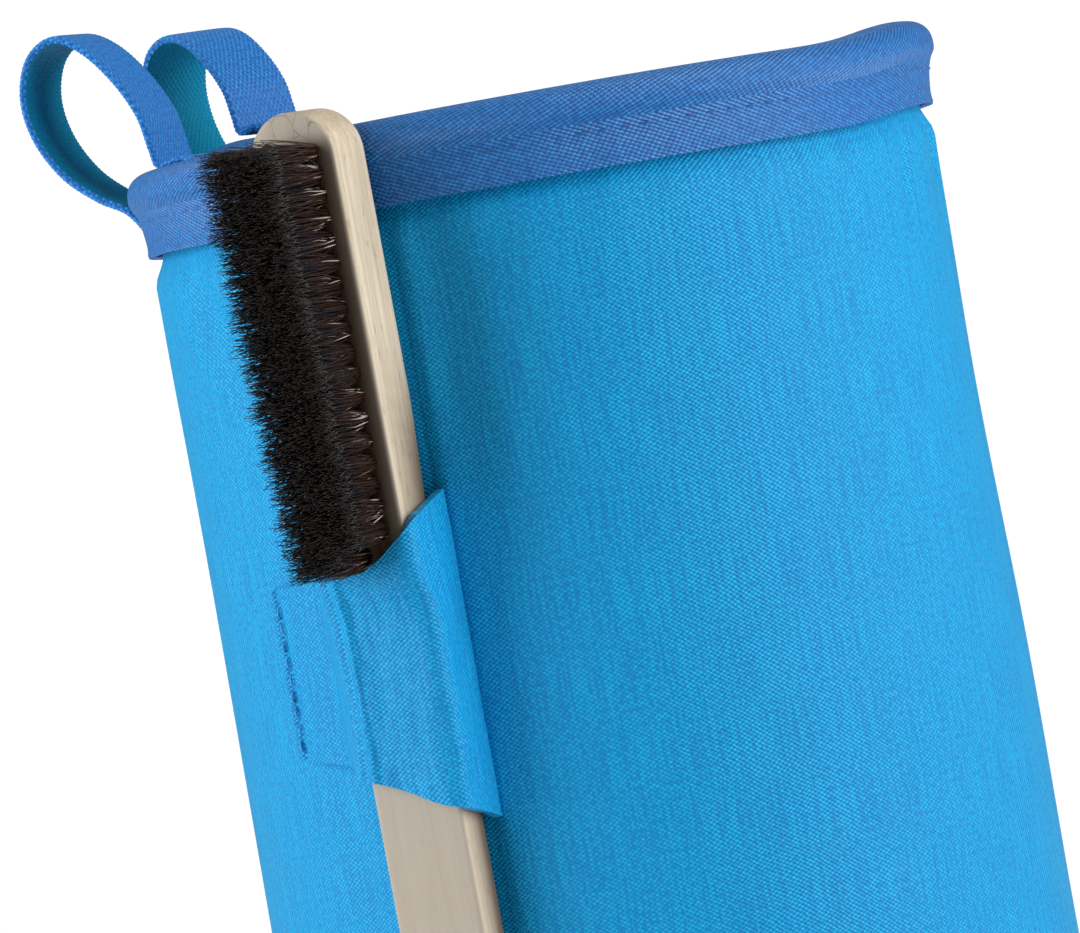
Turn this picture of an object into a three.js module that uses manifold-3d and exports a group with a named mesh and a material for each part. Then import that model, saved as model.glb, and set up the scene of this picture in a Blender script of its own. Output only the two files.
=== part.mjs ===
// Climbing chalk bag: a round cloth bag that stands on its base, with a taped rim, two webbing belt
// loops at the back, and a wooden bristle brush that slides in a cloth holder on its left side.
// Millimetres, +Z up, origin at the centre of the base. The front faces -Y and the belt loops +Y.
// Angles are in degrees round the bag, 0 at the front and positive towards +X.
// A drop is a distance below the rim, and a rise is one above it.

import * as THREE from "three";
import { mergeVertices } from "three/addons/utils/BufferGeometryUtils.js";
import Module from "manifold-3d";

const wasm = await Module();
wasm.setup();

// Bag body
const BODY_DIAMETER = 110;
const BAG_HEIGHT = 170;
const BODY_CLOTH = 1.6;
const BASE_CLOTH = 2;
const BASE_CORNER = 5;
const NECK_DRAW = 1.7; // how far the rim tape draws the cloth in
const SWELL_HEIGHT = 4.5; // over which the cloth puffs out again under the tape
const DENT_DEPTH = 1.2;
const SEAM_DEPTH = 0.6;
const SEAM_WIDTH = 3.5;

// Rim tape, folded over the mouth
const BAND_HEIGHT = 11.8;
const TAPE = 1;
const BAND_STITCH_DROP = 7;
const BAND_FLARE = 0.9; // how far the tape's lower edge stands off its stitching
const ROLL_BULGE = 2.2; // how far the padded roll stands out past the stitching
const RIM_RISE = 3.6; // the rim stands highest where the belt loops pull on it

// Belt loops
const LOOP_ANGLES = [168, -168];
const LOOP_WIDTH = 12;
const WEBBING = 1.2;
const LOOP_REACH = 17.5; // out from the rim's roll
const LOOP_RISE = 18; // up from the rim

// Brush
const BRUSH_ANGLE = -83.5;
const BRUSH_WIDTH = 13;
const BRUSH_LENGTH = 164;
const BRUSH_RISE = 2.8;
const HEAD_THICKNESS = 8.7;
const HANDLE_THICKNESS = 6.9;
const HANDLE_BACK_ROUND = 2.4;
const EDGE_ROUND = 0.6;
const BRISTLE_LENGTH = 14.5; // at the top of the head
const BRISTLE_WEAR = 4; // how much shorter the bristles are at its lower end
const BRISTLE_TOP = 4.6; // bare wood above the bristles
const TUFT_ROWS = 3;
const TUFTS_PER_ROW = 19;
const SEAM_ROW_SHORT = 1; // tufts left out where the holder's raised corner covers the head
const TUFT_PITCH = 3;
const TUFT_ROW_PITCH = 3.3;
const TUFT_ROOT = 2.5;
const TUFT_TIP_ACROSS = 4.5;
const TUFT_TIP_ALONG = 4;
const TUFT_FAN = 1.15; // how much wider apart the outer rows are at their tips

// Brush holder
const HOLDER_CLOTH = 1.2;
const HOLDER_DROP = 59.6;
const HOLDER_HEIGHT = 23;
const HOLDER_SEAM_LIFT = 9.6; // the holder's top edge climbs this much to the side seam
const HOLDER_SEAM_FALL = 12; // and its lower edge falls this much
const SEAM_STEP = 7.4; // degrees from the brush to the side seam
const CREASE_STEP = -14; // degrees from the brush to the holder's inner line of stitching
const FLANGE_STEP = -25.7; // degrees from the brush to the edge of the sewn-down flange
const HOLDER_EASING = 7; // height over which the cloth spreads to take the brush's head

// Clearances
const SEWN_GAP = 0.3;
const SLIDE_GAP = 0.4;

// Facets
const COLUMNS = 56;
const SEAM_HALF_STEP = 2.2;
const LOOP_STATIONS = 26;
const TUFT_SIDES = 6;
const HOLDER_ROWS = 8;

// Soft dents in the body: place round the bag, height and size as shares of the bag's height, and
// depth as a share of DENT_DEPTH. A negative depth swells out.
const DENTS = [
  { angle: 37, height: 0.74, tall: 0.16, wide: 17, depth: 0.6 },
  { angle: -58, height: 0.8, tall: 0.12, wide: 8, depth: 0.5 },
  { angle: 24, height: 0.87, tall: 0.035, wide: 5, depth: 0.6 },
  { angle: 2, height: 0.88, tall: 0.03, wide: 6, depth: 0.4 },
  { angle: 80, height: 0.42, tall: 0.2, wide: 24, depth: 0.9 },
  { angle: 138, height: 0.68, tall: 0.15, wide: 15, depth: 1 },
  { angle: -176, height: 0.36, tall: 0.18, wide: 15, depth: 0.8 },
  { angle: 8, height: 0.16, tall: 0.08, wide: 30, depth: -0.5 },
];

// Where the rim stands above its mean height: place round the bag, half width, and rise as a share
// of RIM_RISE.
const RIM_RISES = [
  { angle: 180, wide: 26, rise: 1 },
  { angle: 46, wide: 27, rise: 0.58 },
];

// Free part of a belt loop, from the crest of the rim to the outside of the tape: out as a share of
// LOOP_REACH from the roll, up as a share of LOOP_RISE from the rim.
const LOOP_PATH = [
  { out: -0.08, up: 0.2 },
  { out: -0.02, up: 0.42 },
  { out: 0.14, up: 0.65 },
  { out: 0.37, up: 0.85 },
  { out: 0.62, up: 0.91 },
  { out: 0.86, up: 0.79 },
  { out: 0.97, up: 0.5 },
  { out: 0.92, up: 0.17 },
  { out: 0.73, up: -0.15 },
  { out: 0.46, up: -0.38 },
  { out: 0.2, up: -0.54 },
];

// Brush body, from the top: the edge rounding at the back grows where the head runs into the handle.
// Along is a share of the brush's length, and round one from EDGE_ROUND to HANDLE_BACK_ROUND.
const BACK_ROUNDS = [
  { along: 0, round: 0 },
  { along: 0.25, round: 0 },
  { along: 0.36, round: 1 },
  { along: 1, round: 1 },
];

// Edges of the holder, across from the flange to the side seam: lift and fall are shares of
// HOLDER_SEAM_LIFT and HOLDER_SEAM_FALL.
const HOLDER_EDGES = {
  flange: { lift: 0, fall: 0 },
  crease: { lift: 0, fall: 0.18 },
  frontLeft: { lift: 0, fall: 0.32 },
  front: { lift: 0.03, fall: 0.54 },
  frontRight: { lift: 0.3, fall: 0.75 },
  cornerRight: { lift: 0.68, fall: 0.83 },
  seam: { lift: 1, fall: 1 },
};

const radians = THREE.MathUtils.degToRad;
const bodyRadius = BODY_DIAMETER / 2;
const neckRadius = bodyRadius - NECK_DRAW;
const swellStart = BAND_HEIGHT - SEWN_GAP;
const seamAngle = BRUSH_ANGLE + SEAM_STEP;

// Rim roll: an ellipse on the middle of the neck cloth, in radius and drop
const neckMiddle = neckRadius - BODY_CLOTH / 2;
const tapeReach = BODY_CLOTH / 2 + SEWN_GAP + TAPE;
const rollRadius = tapeReach + ROLL_BULGE;
const rollDrop = BAND_STITCH_DROP / 2;
const rollOuter = neckMiddle + rollRadius;

// A point at an angle round the bag.
function around(angle, radius, z) {
  const a = radians(angle);
  return new THREE.Vector3(radius * Math.sin(a), -radius * Math.cos(a), z);
}

function angleBetween(a, b) {
  return Math.abs(THREE.MathUtils.euclideanModulo(a - b + 180, 360) - 180);
}

// Height of the rim's crest.
function rimHeight(angle) {
  const rises = RIM_RISES.map(({ angle: centre, wide, rise }) => {
    const aside = angleBetween(angle, centre) / wide;
    return RIM_RISE * rise * Math.exp(-(aside ** 4));
  });
  return rises.reduce((sum, rise) => sum + rise, BAG_HEIGHT);
}

// How far the cloth is pushed in by its dents and by the side seam.
function hollow(angle, z) {
  const seam = (radians(angleBetween(angle, seamAngle)) * bodyRadius) / (SEAM_WIDTH / 2);
  const fromSeam = SEAM_DEPTH * Math.exp(-seam * seam);
  const fromDents = DENTS.map(({ angle: centre, height, tall, wide, depth }) => {
    const aside = angleBetween(angle, centre) / wide;
    const above = (z / BAG_HEIGHT - height) / tall;
    return DENT_DEPTH * depth * Math.exp(-aside * aside - above * above);
  });
  return fromDents.reduce((sum, dent) => sum + dent, fromSeam);
}

// Outside of the body cloth above its bottom corner.
function clothRadius(angle, z) {
  const drop = rimHeight(angle) - z;
  const swell = THREE.MathUtils.smoothstep(drop, swellStart, swellStart + SWELL_HEIGHT);
  return neckRadius + swell * (bodyRadius - neckRadius - hollow(angle, z));
}

// One closed surface through a row of closed loops. A ring joins its last loop to its first, and
// otherwise both ends get a cap, whose rungs join the first half of the loop to the second.
function sweep(loops, ring = false) {
  const size = loops[0].length;
  const index = [];
  const at = (loop, point) => (loop % loops.length) * size + (point % size);
  for (let i = 0; i < loops.length - (ring ? 0 : 1); i++)
    for (let j = 0; j < size; j++) {
      index.push(at(i, j), at(i + 1, j), at(i + 1, j + 1));
      index.push(at(i, j), at(i + 1, j + 1), at(i, j + 1));
    }
  const last = loops.length - 1;
  for (let j = 0; !ring && j < size / 2 - 1; j++) {
    const across = size - 1 - j;
    index.push(at(0, j), at(0, j + 1), at(0, across - 1));
    index.push(at(0, j), at(0, across - 1), at(0, across));
    index.push(at(last, j), at(last, across - 1), at(last, j + 1));
    index.push(at(last, j), at(last, across), at(last, across - 1));
  }
  const geometry = new THREE.BufferGeometry().setFromPoints(loops.flat());
  geometry.setIndex(index);
  return facingOut(geometry);
}

// The same surface with its faces turned to point out of the solid.
function facingOut(geometry) {
  const position = geometry.getAttribute("position");
  const index = geometry.getIndex();
  const [a, b, c] = [new THREE.Vector3(), new THREE.Vector3(), new THREE.Vector3()];
  let volume = 0;
  for (let i = 0; i < index.count; i += 3) {
    a.fromBufferAttribute(position, index.getX(i));
    b.fromBufferAttribute(position, index.getX(i + 1));
    c.fromBufferAttribute(position, index.getX(i + 2));
    volume += a.dot(b.cross(c));
  }
  if (volume < 0) geometry.setIndex(Array.from(index.array).reverse());
  geometry.computeVertexNormals();
  return geometry;
}

// A line in a plane given a thickness: its points moved to either side along their normals.
function thicken(line, thickness) {
  const side = (sign) =>
    line.map((point, i) => {
      const before = line[Math.max(i - 1, 0)];
      const after = line[Math.min(i + 1, line.length - 1)];
      const into = point.clone().sub(before).normalize();
      const out = after.clone().sub(point).normalize();
      const along = into.add(out).normalize();
      return point.clone().add(new THREE.Vector2(along.y, -along.x).multiplyScalar((sign * thickness) / 2));
    });
  return [side(1), side(-1)];
}

// Angles of the body's columns: even steps all round, and a narrow pair beside the side seam.
function bodyColumns() {
  const span = 360 - 2 * SEAM_HALF_STEP;
  const first = seamAngle + SEAM_HALF_STEP;
  const even = Array.from({ length: COLUMNS }, (_, i) => first + (span * i) / (COLUMNS - 1));
  return [...even, seamAngle + 360];
}

// Body: one wall of cloth, open at the mouth and at the bottom, where the base is sewn in.
function bodyGeometry() {
  const wallShares = [0, 0.12, 0.3, 0.48, 0.64, 0.8, 0.92];
  const innerShares = [0, 0.3, 0.48, 0.64, 0.8];
  const swellShares = [0, 0.35, 0.7, 1];
  const cornerCentre = bodyRadius - BASE_CORNER;
  const loops = bodyColumns().map((angle) => {
    const rim = rimHeight(angle);
    const swellTop = rim - swellStart;
    const swellBottom = swellTop - SWELL_HEIGHT;
    const wallTop = rim - rollDrop;
    const wall = (share) => THREE.MathUtils.lerp(BASE_CORNER, swellBottom, share);
    const corner = (turn, radius) => {
      const a = radians(turn);
      const sunk = hollow(angle, BASE_CORNER) * Math.sin(a);
      return around(angle, cornerCentre - sunk + radius * Math.sin(a), BASE_CORNER - radius * Math.cos(a));
    };
    const outside = (z) => around(angle, clothRadius(angle, z), z);
    const inside = (z) => around(angle, clothRadius(angle, z) - BODY_CLOTH, z);
    return [
      ...[0, 30, 60].map((turn) => corner(turn, BASE_CORNER)),
      ...wallShares.map((share) => outside(wall(share))),
      ...swellShares.map((share) => outside(swellBottom + share * SWELL_HEIGHT)),
      outside(wallTop),
      inside(wallTop),
      inside(swellTop),
      inside(swellBottom),
      ...innerShares.toReversed().map((share) => inside(wall(share))),
      ...[45, 0].map((turn) => corner(turn, BASE_CORNER - BODY_CLOTH)),
    ];
  });
  return sweep(loops, true);
}

// Base: a flat disc of cloth that meets the body's turned-in edge.
function baseGeometry() {
  const radius = bodyRadius - BASE_CORNER - SEWN_GAP;
  const profile = [
    new THREE.Vector2(0, 0),
    new THREE.Vector2(radius, 0),
    new THREE.Vector2(radius, BASE_CLOTH),
    new THREE.Vector2(0, BASE_CLOTH),
  ];
  return new THREE.LatheGeometry(profile, COLUMNS).rotateX(Math.PI / 2);
}

// Line on the rim roll's tape or round it: radius and rise, at a turn round the roll and a stand-off
// from the tape's outer face.
function rollPoint(turn, standOff) {
  const a = radians(turn);
  const radius = neckMiddle + (rollRadius + standOff) * Math.cos(a);
  return new THREE.Vector2(radius, -rollDrop + (rollDrop + standOff) * Math.sin(a));
}

// Rim tape: up the outside of the cloth, round the roll and down the inside.
function bandGeometry() {
  const middle = -TAPE / 2;
  const leg = tapeReach + middle;
  const line = [
    new THREE.Vector2(neckMiddle + leg + BAND_FLARE, -BAND_HEIGHT),
    new THREE.Vector2(neckMiddle + leg, -BAND_STITCH_DROP),
    ...[-35, 5, 45, 90, 135, 175, 215].map((turn) => rollPoint(turn, middle)),
    new THREE.Vector2(neckMiddle - leg, -BAND_STITCH_DROP),
    new THREE.Vector2(neckMiddle - leg, -BAND_HEIGHT),
  ];
  const [outer, inner] = thicken(line, TAPE);
  const profile = [...outer, ...inner.reverse()];
  const loops = bodyColumns().map((angle) => {
    const rim = rimHeight(angle);
    return profile.map(({ x, y }) => around(angle, x, rim + y));
  });
  return sweep(loops, true);
}

// Belt loop: webbing sewn to the inside of the rim tape, over the roll, out and back to the tape's
// outer face. Inside the mouth the flat strip stands off the curved tape by what its width needs.
function loopGeometry(angle) {
  const half = LOOP_WIDTH / 2;
  const innerRadius = neckMiddle - rollRadius;
  const sagitta = innerRadius - Math.sqrt(innerRadius ** 2 - half ** 2);
  const outside = SEWN_GAP + WEBBING / 2;
  const inside = outside + sagitta + SEWN_GAP / 2;
  const tapeInner = neckMiddle - tapeReach;
  const tapeOuter = neckMiddle + tapeReach + BAND_FLARE;
  const tail = BAND_HEIGHT - WEBBING;
  const points = [
    new THREE.Vector2(tapeInner - inside, -tail),
    new THREE.Vector2(tapeInner - inside, -BAND_STITCH_DROP - WEBBING),
    ...[208, 180, 150, 120, 95, 72].map((turn) => rollPoint(turn, inside)),
    ...LOOP_PATH.map(({ out, up }) => new THREE.Vector2(rollOuter + out * LOOP_REACH, up * LOOP_RISE)),
    new THREE.Vector2(tapeOuter + outside, -tail),
  ];
  const path = new THREE.SplineCurve(points);
  const line = path.getSpacedPoints(LOOP_STATIONS);
  const [above, below] = thicken(line, WEBBING);
  const sideways = around(angle + 90, half, 0);
  const rim = rimHeight(angle);
  const corner = ({ x, y }, side) => around(angle, x, rim + y).addScaledVector(sideways, side);
  const loops = line.map((_, i) => [
    corner(above[i], 1),
    corner(above[i], -1),
    corner(below[i], -1),
    corner(below[i], 1),
  ]);
  return sweep(loops);
}

// Where the brush stands: its head leans on the rim's roll and its foot on the bag's wall. The
// stand is the distance of its back from the bag's axis at a height.
const leanTop = BAG_HEIGHT - rollDrop;
const brushFoot = BAG_HEIGHT + BRUSH_RISE - BRUSH_LENGTH;
const headStand = rollOuter + SLIDE_GAP;
const lean = (headStand - bodyRadius - SLIDE_GAP) / (leanTop - brushFoot);
const brushStand = (z) => headStand + (z - leanTop) * lean;
const shoulderDrop = HOLDER_DROP - SLIDE_GAP;

// Places measured down from the top of the brush, along it
const shoulderAlong = BRUSH_RISE + shoulderDrop;

// Brush body: wood, with rounded ends, a thicker head and a handle rounded at the back. Its own
// axes are x across, y out from the bag and z along, with z zero at its top.
function brushGeometry() {
  const endRadius = BRUSH_WIDTH / 2;
  const endTurns = [8, 26, 44, 62, 80];
  const topEnd = endTurns.map((turn) => ({
    along: endRadius * (1 - Math.cos(radians(turn))),
    half: endRadius * Math.sin(radians(turn)),
  }));
  const bottomEnd = topEnd.map(({ along, half }) => ({ along: BRUSH_LENGTH - along, half })).reverse();
  const straight = [
    ...BACK_ROUNDS.slice(1, -1).map(({ along }) => along * BRUSH_LENGTH),
    shoulderAlong - EDGE_ROUND,
    shoulderAlong,
  ];
  const middle = straight.sort((a, b) => a - b).map((along) => ({ along, half: endRadius }));
  const loops = [...topEnd, ...middle, ...bottomEnd].map(({ along, half }) => {
    const thickness = along > shoulderAlong - EDGE_ROUND / 2 ? HANDLE_THICKNESS : HEAD_THICKNESS;
    const round = THREE.MathUtils.lerp(EDGE_ROUND, HANDLE_BACK_ROUND, backRound(along / BRUSH_LENGTH));
    const back = Math.min(round, half * 0.9);
    const front = Math.min(EDGE_ROUND, half * 0.9);
    const quarter = [
      [half - front, thickness],
      [half, thickness - front],
      [half, back],
      [half - back * 0.29, back * 0.29],
      [half - back, 0],
    ];
    const right = quarter.map(([x, y]) => new THREE.Vector3(x, y, -along));
    const left = quarter.map(([x, y]) => new THREE.Vector3(-x, y, -along)).reverse();
    return [...right, ...left];
  });
  return sweep(loops);
}

// Share of the handle's back rounding at a share of the brush's length.
function backRound(along) {
  const next = Math.max(1, BACK_ROUNDS.findIndex((row) => row.along >= along));
  const [from, to] = [BACK_ROUNDS[next - 1], BACK_ROUNDS[next]];
  return THREE.MathUtils.mapLinear(along, from.along, to.along, from.round, to.round);
}

// Bristles: tufts that stand on the head, widen towards their tips and run together there.
function bristleGeometry() {
  const first = BRISTLE_TOP + TUFT_ROOT / 2;
  const tufts = [];
  for (let row = 0; row < TUFT_ROWS; row++)
    for (let i = 0; i < TUFTS_PER_ROW - (row === 0 ? SEAM_ROW_SHORT : 0); i++) {
      const across = (row - (TUFT_ROWS - 1) / 2) * TUFT_ROW_PITCH;
      const along = first + i * TUFT_PITCH;
      const uneven = 1 - 0.03 * (1 + Math.sin(2.4 * i + 1.7 * row));
      const tip = (BRISTLE_LENGTH - (BRISTLE_WEAR * i) / (TUFTS_PER_ROW - 1)) * uneven;
      const ellipse = (x, y, wide, high) =>
        Array.from({ length: TUFT_SIDES }, (_, k) => {
          const a = (2 * Math.PI * k) / TUFT_SIDES;
          return new THREE.Vector3(x + (wide / 2) * Math.cos(a), y, -along + (high / 2) * Math.sin(a));
        });
      const foot = HEAD_THICKNESS + SEWN_GAP;
      tufts.push(
        sweep([
          ellipse(across, foot, TUFT_ROOT, TUFT_ROOT),
          ellipse(across * TUFT_FAN, foot + tip, TUFT_TIP_ACROSS, TUFT_TIP_ALONG),
        ]),
      );
    }
  return fuse(tufts);
}

// Holder: one sheet of cloth, from a flange sewn to the bag, over the brush, to the side seam.
function holderGeometry() {
  const lines = Array.from({ length: HOLDER_ROWS }, (_, i) => i / (HOLDER_ROWS - 1));
  const stations = holderLine(BAG_HEIGHT - HOLDER_DROP).map(({ edge }) => edge);
  const loops = stations.map((edge, station) => {
    const drop = HOLDER_DROP - edge.lift * HOLDER_SEAM_LIFT;
    const top = BAG_HEIGHT - drop;
    const bottom = BAG_HEIGHT - HOLDER_DROP - HOLDER_HEIGHT - edge.fall * HOLDER_SEAM_FALL;
    const points = lines.map((share) => {
      const z = THREE.MathUtils.lerp(bottom, top, share);
      const line = holderLine(z).map(({ point }) => point);
      return thicken(line, HOLDER_CLOTH).map((side) => {
        const { x, y } = side[station];
        return around(BRUSH_ANGLE, y, z).add(around(BRUSH_ANGLE + 90, x, 0));
      });
    });
    return [...points.map(([outer]) => outer), ...points.map(([, inner]) => inner).reverse()];
  });
  return sweep(loops);
}

// The middle of the holder's cloth at a height: x along the bag's surface and y out from its axis,
// square to the brush. Each point carries the row that gives the height of the edges there.
function holderLine(z) {
  const { flange, crease, frontLeft, front, frontRight, cornerRight, seam } = HOLDER_EDGES;
  const between = (a, b, share) => ({
    lift: THREE.MathUtils.lerp(a.lift, b.lift, share),
    fall: THREE.MathUtils.lerp(a.fall, b.fall, share),
  });
  const lying = (step, edge) => {
    const radius = bodyRadius + SEWN_GAP + HOLDER_CLOTH / 2;
    const a = radians(step);
    return { point: new THREE.Vector2(radius * Math.sin(a), radius * Math.cos(a)), edge };
  };
  const cover = SLIDE_GAP + HOLDER_CLOTH / 2;
  const shoulder = BAG_HEIGHT - shoulderDrop;
  const spread = THREE.MathUtils.smoothstep(z, shoulder - HOLDER_EASING, shoulder - SLIDE_GAP);
  const face = brushStand(z) + THREE.MathUtils.lerp(HANDLE_THICKNESS, HEAD_THICKNESS, spread);
  const half = BRUSH_WIDTH / 2;
  const over = (x, edge) => ({ point: new THREE.Vector2(x, face + cover), edge });
  const corner = (side, turn, edge) => {
    const a = radians(turn);
    const x = half - EDGE_ROUND + (EDGE_ROUND + cover) * Math.cos(a);
    const y = face - EDGE_ROUND + (EDGE_ROUND + cover) * Math.sin(a);
    return { point: new THREE.Vector2(side * x, y), edge };
  };
  return [
    lying(FLANGE_STEP, flange),
    lying(THREE.MathUtils.lerp(FLANGE_STEP, CREASE_STEP, 0.33), between(flange, crease, 0.33)),
    lying(THREE.MathUtils.lerp(FLANGE_STEP, CREASE_STEP, 0.67), between(flange, crease, 0.67)),
    lying(CREASE_STEP, crease),
    corner(-1, 20, frontLeft),
    corner(-1, 70, frontLeft),
    over(0, front),
    over(half - 2 * EDGE_ROUND, frontRight),
    corner(1, 65, between(frontRight, cornerRight, 0.6)),
    corner(1, 10, cornerRight),
    lying(SEAM_STEP, seam),
  ];
}

// Several overlapping solids as one.
function fuse(geometries) {
  const solids = geometries.map((geometry) => {
    const shape = geometry.clone();
    shape.deleteAttribute("normal");
    const merged = mergeVertices(shape);
    const vertProperties = merged.getAttribute("position").array;
    return new wasm.Manifold(new wasm.Mesh({ numProp: 3, vertProperties, triVerts: merged.index.array }));
  });
  const { vertProperties, triVerts } = wasm.Manifold.union(solids).getMesh();
  const geometry = new THREE.BufferGeometry();
  geometry.setAttribute("position", new THREE.BufferAttribute(vertProperties, 3));
  geometry.setIndex(new THREE.BufferAttribute(triVerts, 1));
  geometry.computeVertexNormals();
  return geometry;
}

function piece(name, geometry, material) {
  const mesh = new THREE.Mesh(geometry, material);
  mesh.name = name;
  return mesh;
}

function cloth(color) {
  return new THREE.MeshStandardMaterial({ color, roughness: 0.85, metalness: 0 });
}

const bodyCloth = cloth("#1e93d3");
const holderCloth = cloth("#2196d6");
const tape = cloth("#3f78bf");
const webbing = cloth("#2f74be");
const beech = new THREE.MeshStandardMaterial({ color: "#cbbf9f", roughness: 0.6, metalness: 0 });
const boarBristle = new THREE.MeshStandardMaterial({ color: "#1c1613", roughness: 0.7, metalness: 0 });

const bag = new THREE.Group();
bag.add(piece("bag_body", bodyGeometry(), bodyCloth));
bag.add(piece("base_panel", baseGeometry(), bodyCloth));
bag.add(piece("rim_band", bandGeometry(), tape));
LOOP_ANGLES.forEach((angle, i) => bag.add(piece(`belt_loop_${i + 1}`, loopGeometry(angle), webbing)));
bag.add(piece("brush_holder", holderGeometry(), holderCloth));

const brush = new THREE.Group();
const top = BAG_HEIGHT + BRUSH_RISE;
brush.position.copy(around(BRUSH_ANGLE, brushStand(top), top));
brush.rotation.set(-Math.atan(lean), 0, radians(BRUSH_ANGLE + 180), "ZYX");
brush.add(piece("brush_handle", brushGeometry(), beech));
brush.add(piece("brush_bristles", bristleGeometry(), boarBristle));
bag.add(brush);

export default bag;
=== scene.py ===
"""Looks of the climbing chalk bag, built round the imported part.

Shapes are worked out in millimetres and finished in metres. Angles are in degrees round the bag, 0 at
the front and positive towards +X. A drop is a distance below the rim, as in the part's source.
"""

import math
import random

import bmesh
import bpy
from bmesh.types import BMEdge, BMVert
from mathutils import Matrix, Vector, noise


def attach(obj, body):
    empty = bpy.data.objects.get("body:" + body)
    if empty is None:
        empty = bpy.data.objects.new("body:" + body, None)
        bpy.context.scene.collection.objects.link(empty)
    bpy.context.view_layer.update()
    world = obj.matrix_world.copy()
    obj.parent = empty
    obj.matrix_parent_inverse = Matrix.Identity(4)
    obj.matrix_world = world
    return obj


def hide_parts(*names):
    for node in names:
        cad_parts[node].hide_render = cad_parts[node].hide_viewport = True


MM = 0.001

# Bag body and rim tape, as in the part's source
BODY_RADIUS = 55
BAG_HEIGHT = 170
BODY_CLOTH = 1.6
BASE_CLOTH = 2
BASE_CORNER = 5
NECK_DRAW = 1.7
SWELL_HEIGHT = 4.5
DENT_DEPTH = 1.2
SEAM_GROOVE = 0.3
SEAM_FOLD = 0.5
PUCKER = 0.55
SLACK = 0.4
BASE_DOME = 0.7
BAND_HEIGHT = 11.8
TAPE = 1
BAND_STITCH_DROP = 7
BAND_FLARE = 0.9
ROLL_BULGE = 2.2
ROLL_POWER = 0.82  # below 1, the roll's section is squarer than an ellipse
RIM_RISE = 3.6
SEWN_GAP = 0.3

# Belt loops
LOOP_ANGLES = (168, -168)
LOOP_LIFTS = (0, 5)
LOOP_WIDTH = 12
WEBBING = 1.2
LOOP_REACH = 17.5
LOOP_RISE = 18
RIB_ASIDE = 0.07
RIB_OUT = 0.03

# Brush
BRUSH_ANGLE = -83.5
BRUSH_WIDTH = 13
BRUSH_LENGTH = 164
BRUSH_RISE = 2.8
HEAD_THICKNESS = 8.7
HANDLE_THICKNESS = 6.9
HANDLE_BACK_ROUND = 2.4
EDGE_ROUND = 0.6
SHOULDER_SLOPE = 0.9
BRISTLE_LENGTH = 14.5
BRISTLE_WEAR = 4
BRISTLE_TOP = 4.6
TUFT_ROWS = 3
TUFTS_PER_ROW = 19
TUFT_PITCH = 3
TUFT_ROW_PITCH = 3.3
TUFT_ROOT = 2.5
TUFT_TIP_ACROSS = 4.5
TUFT_TIP_ALONG = 4
TUFT_FAN = 1.15
HAIRS_PER_TUFT = 160
HAIR_SINK = 0.1
HAIR_RADIUS = (0.075, 0.11)
SLIDE_GAP = 0.4

# Brush holder
HOLDER_CLOTH = 1.2
HOLDER_DROP = 59.6
HOLDER_HEIGHT = 23
HOLDER_SEAM_LIFT = 9.6
HOLDER_SEAM_FALL = 12
SEAM_STEP = 7.4
CREASE_STEP = -14
FLANGE_STEP = -25.7
HOLDER_EASING = 7
PLEAT_RISE = 0.45
PLEAT_FALL = 0.35
HEM_RISE = 0.35
HEM_FALL = 0.3

# Stitches, in their length, the thread's radius and the pitch of the row
RIM_STITCH = (1.9, 0.13, 3.1)
HOLDER_STITCH = (1.7, 0.17, 2.3)

# Yarns and ribs of the woven materials
YARN = 0.44  # one warp yarn of the oxford cloth
PICK = 0.31  # one weft yarn of the oxford cloth
TAPE_RIB = 0.5
TAPE_YARN = (0.8, 1.1)  # one yarn of the tape along it and across it
TAPE_TURN = 6.2  # from one turn of the tape's herringbone to the next
WEBBING_END = 0.4  # one warp yarn of the webbing
WEBBING_RIB = 0.62

# How finely the larger pieces are made
ROUND_STEPS = 300
BAND_POINTS = 64
LOOP_POINTS = 420

# What follows from these
SWELL_START = BAND_HEIGHT - SEWN_GAP
SWELL_BOTTOM = BAG_HEIGHT - SWELL_START - SWELL_HEIGHT
NECK_RADIUS = BODY_RADIUS - NECK_DRAW
NECK_MIDDLE = NECK_RADIUS - BODY_CLOTH / 2
TAPE_REACH = BODY_CLOTH / 2 + SEWN_GAP + TAPE
ROLL_RADIUS = TAPE_REACH + ROLL_BULGE
ROLL_DROP = BAND_STITCH_DROP / 2
ROLL_OUTER = NECK_MIDDLE + ROLL_RADIUS
SEAM_ANGLE = BRUSH_ANGLE + SEAM_STEP
HEAD_STAND = ROLL_OUTER + SLIDE_GAP
BRUSH_FOOT = BAG_HEIGHT + BRUSH_RISE - BRUSH_LENGTH
LEAN = (HEAD_STAND - BODY_RADIUS - SLIDE_GAP) / (BAG_HEIGHT - ROLL_DROP - BRUSH_FOOT)
SHOULDER_ALONG = BRUSH_RISE + HOLDER_DROP - SLIDE_GAP

# Soft dents in the body: angle and half width in degrees, height and tallness as shares of BAG_HEIGHT,
# and depth as a share of DENT_DEPTH
DENTS = (
    dict(angle=37, height=0.74, tall=0.16, wide=17, depth=0.6),
    dict(angle=-72, height=0.8, tall=0.13, wide=6, depth=1.1),
    dict(angle=24, height=0.87, tall=0.035, wide=5, depth=0.6),
    dict(angle=2, height=0.88, tall=0.03, wide=6, depth=0.4),
    dict(angle=80, height=0.42, tall=0.2, wide=24, depth=0.9),
    dict(angle=138, height=0.68, tall=0.15, wide=15, depth=1),
    dict(angle=-176, height=0.36, tall=0.18, wide=15, depth=0.8),
    dict(angle=8, height=0.16, tall=0.08, wide=30, depth=-0.5),
)

# Where the rim stands higher: angle and half width in degrees, and a share of RIM_RISE
RIM_RISES = (dict(angle=170, wide=17, rise=1), dict(angle=37, wide=33, rise=0.58))

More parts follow.
